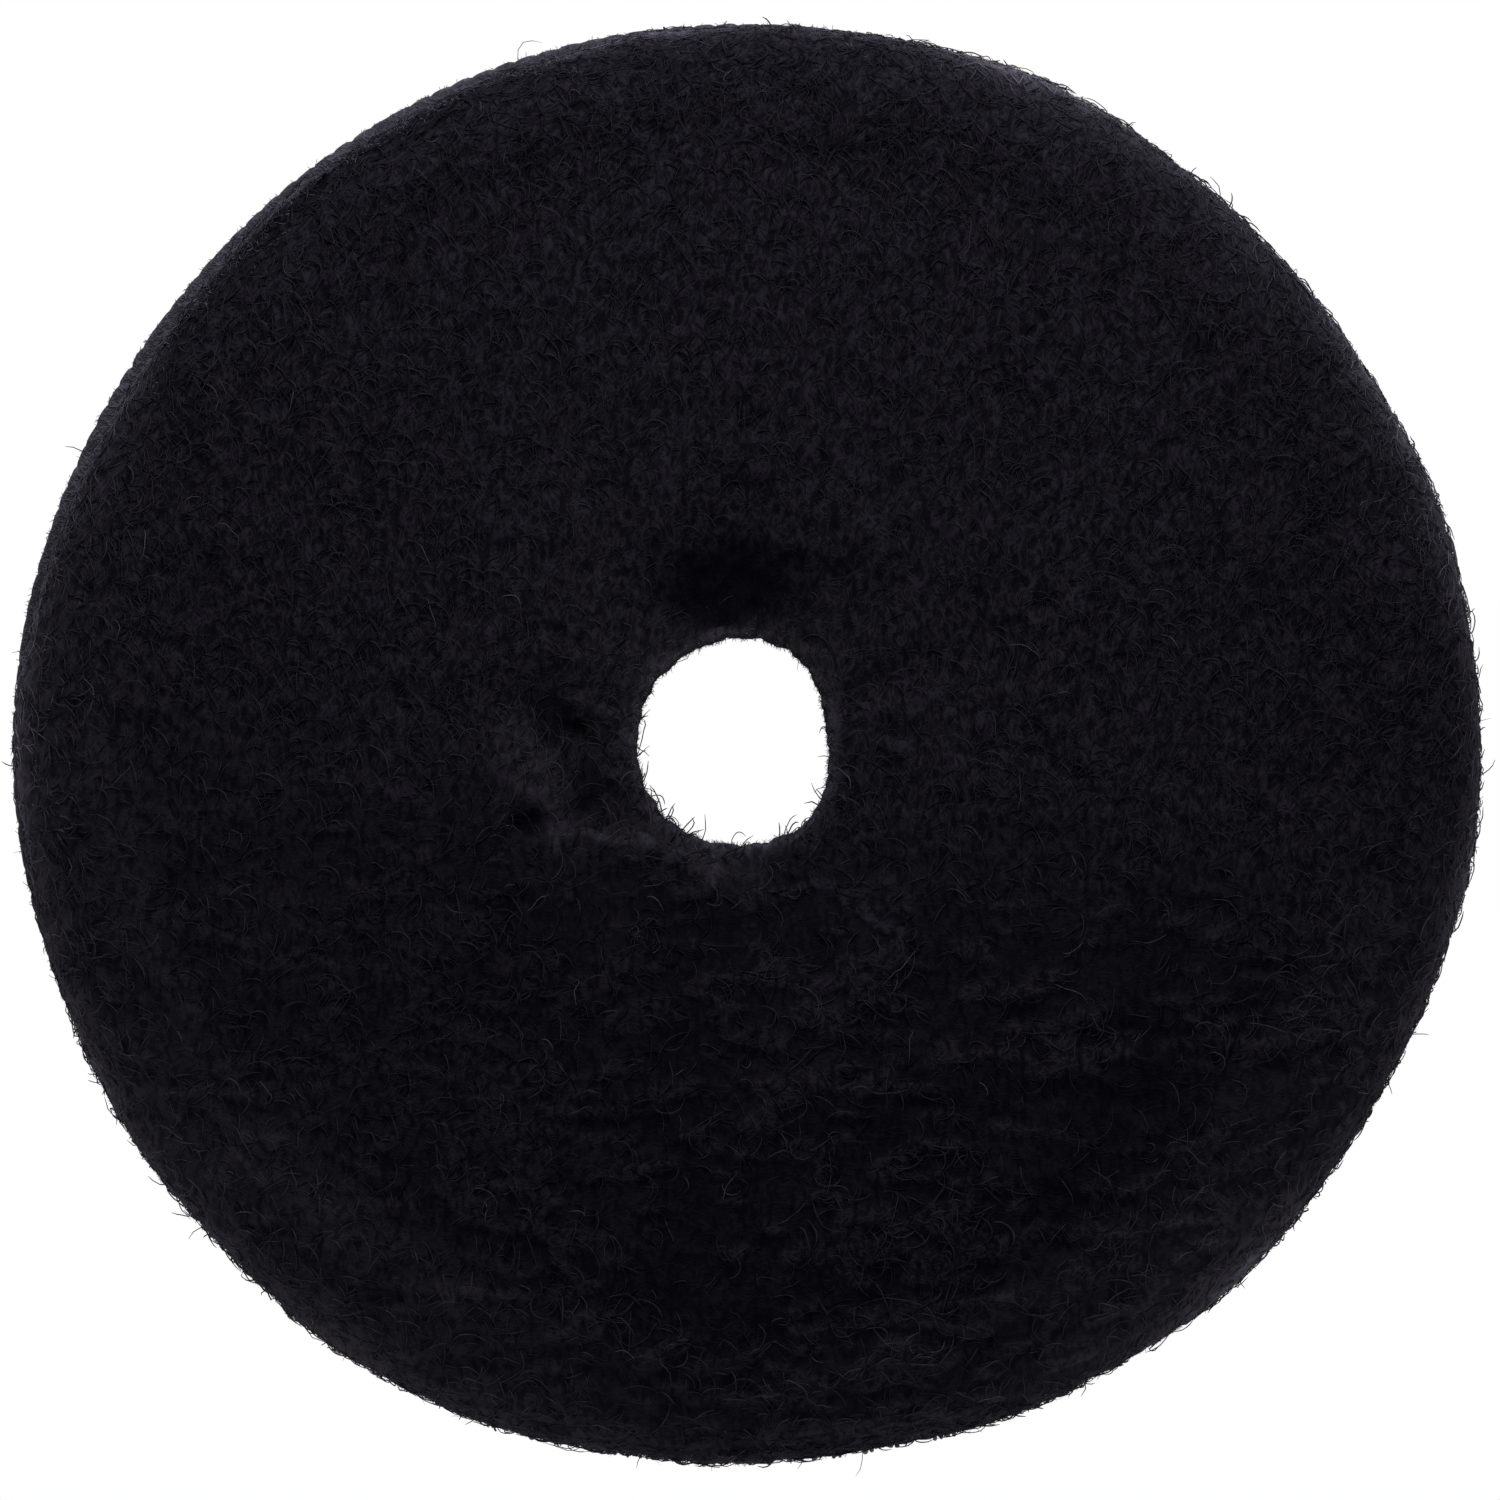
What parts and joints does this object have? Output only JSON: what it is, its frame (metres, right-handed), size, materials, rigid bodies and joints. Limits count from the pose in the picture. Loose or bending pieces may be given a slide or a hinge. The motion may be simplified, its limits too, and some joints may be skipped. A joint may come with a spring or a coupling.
{
  "type": "felt polishing wheel",
  "caption": "Soft round polishing wheel: a crowned felt disc with a dimpled centre hole, bonded to a looped cloth back that presses onto a hook plate.",
  "frame": {"origin": "on the axis of the centre hole, at the back face where the loops end", "axes": "+Z along the hole's axis, out of the polishing face; the wheel is round, so +X and +Y are free"},
  "size_m": [0.076, 0.076, 0.013],
  "materials": {
    "felt": "black needle-punched felt, matte, with loose curly fibres on its surface",
    "adhesive": "set adhesive film, dark and slightly glossy, beaded at its edge",
    "knit_cloth": "knitted ground cloth, matte, charcoal, with fine ribs",
    "loop_yarn": "brushed loops of fine charcoal yarn with a soft sheen"
  },
  "bodies": {
    "root": {"felt_pad": "felt", "bond_film": "adhesive", "backing_cloth": "knit_cloth", "loop_pile": "loop_yarn"}
  },
  "joints": []
}
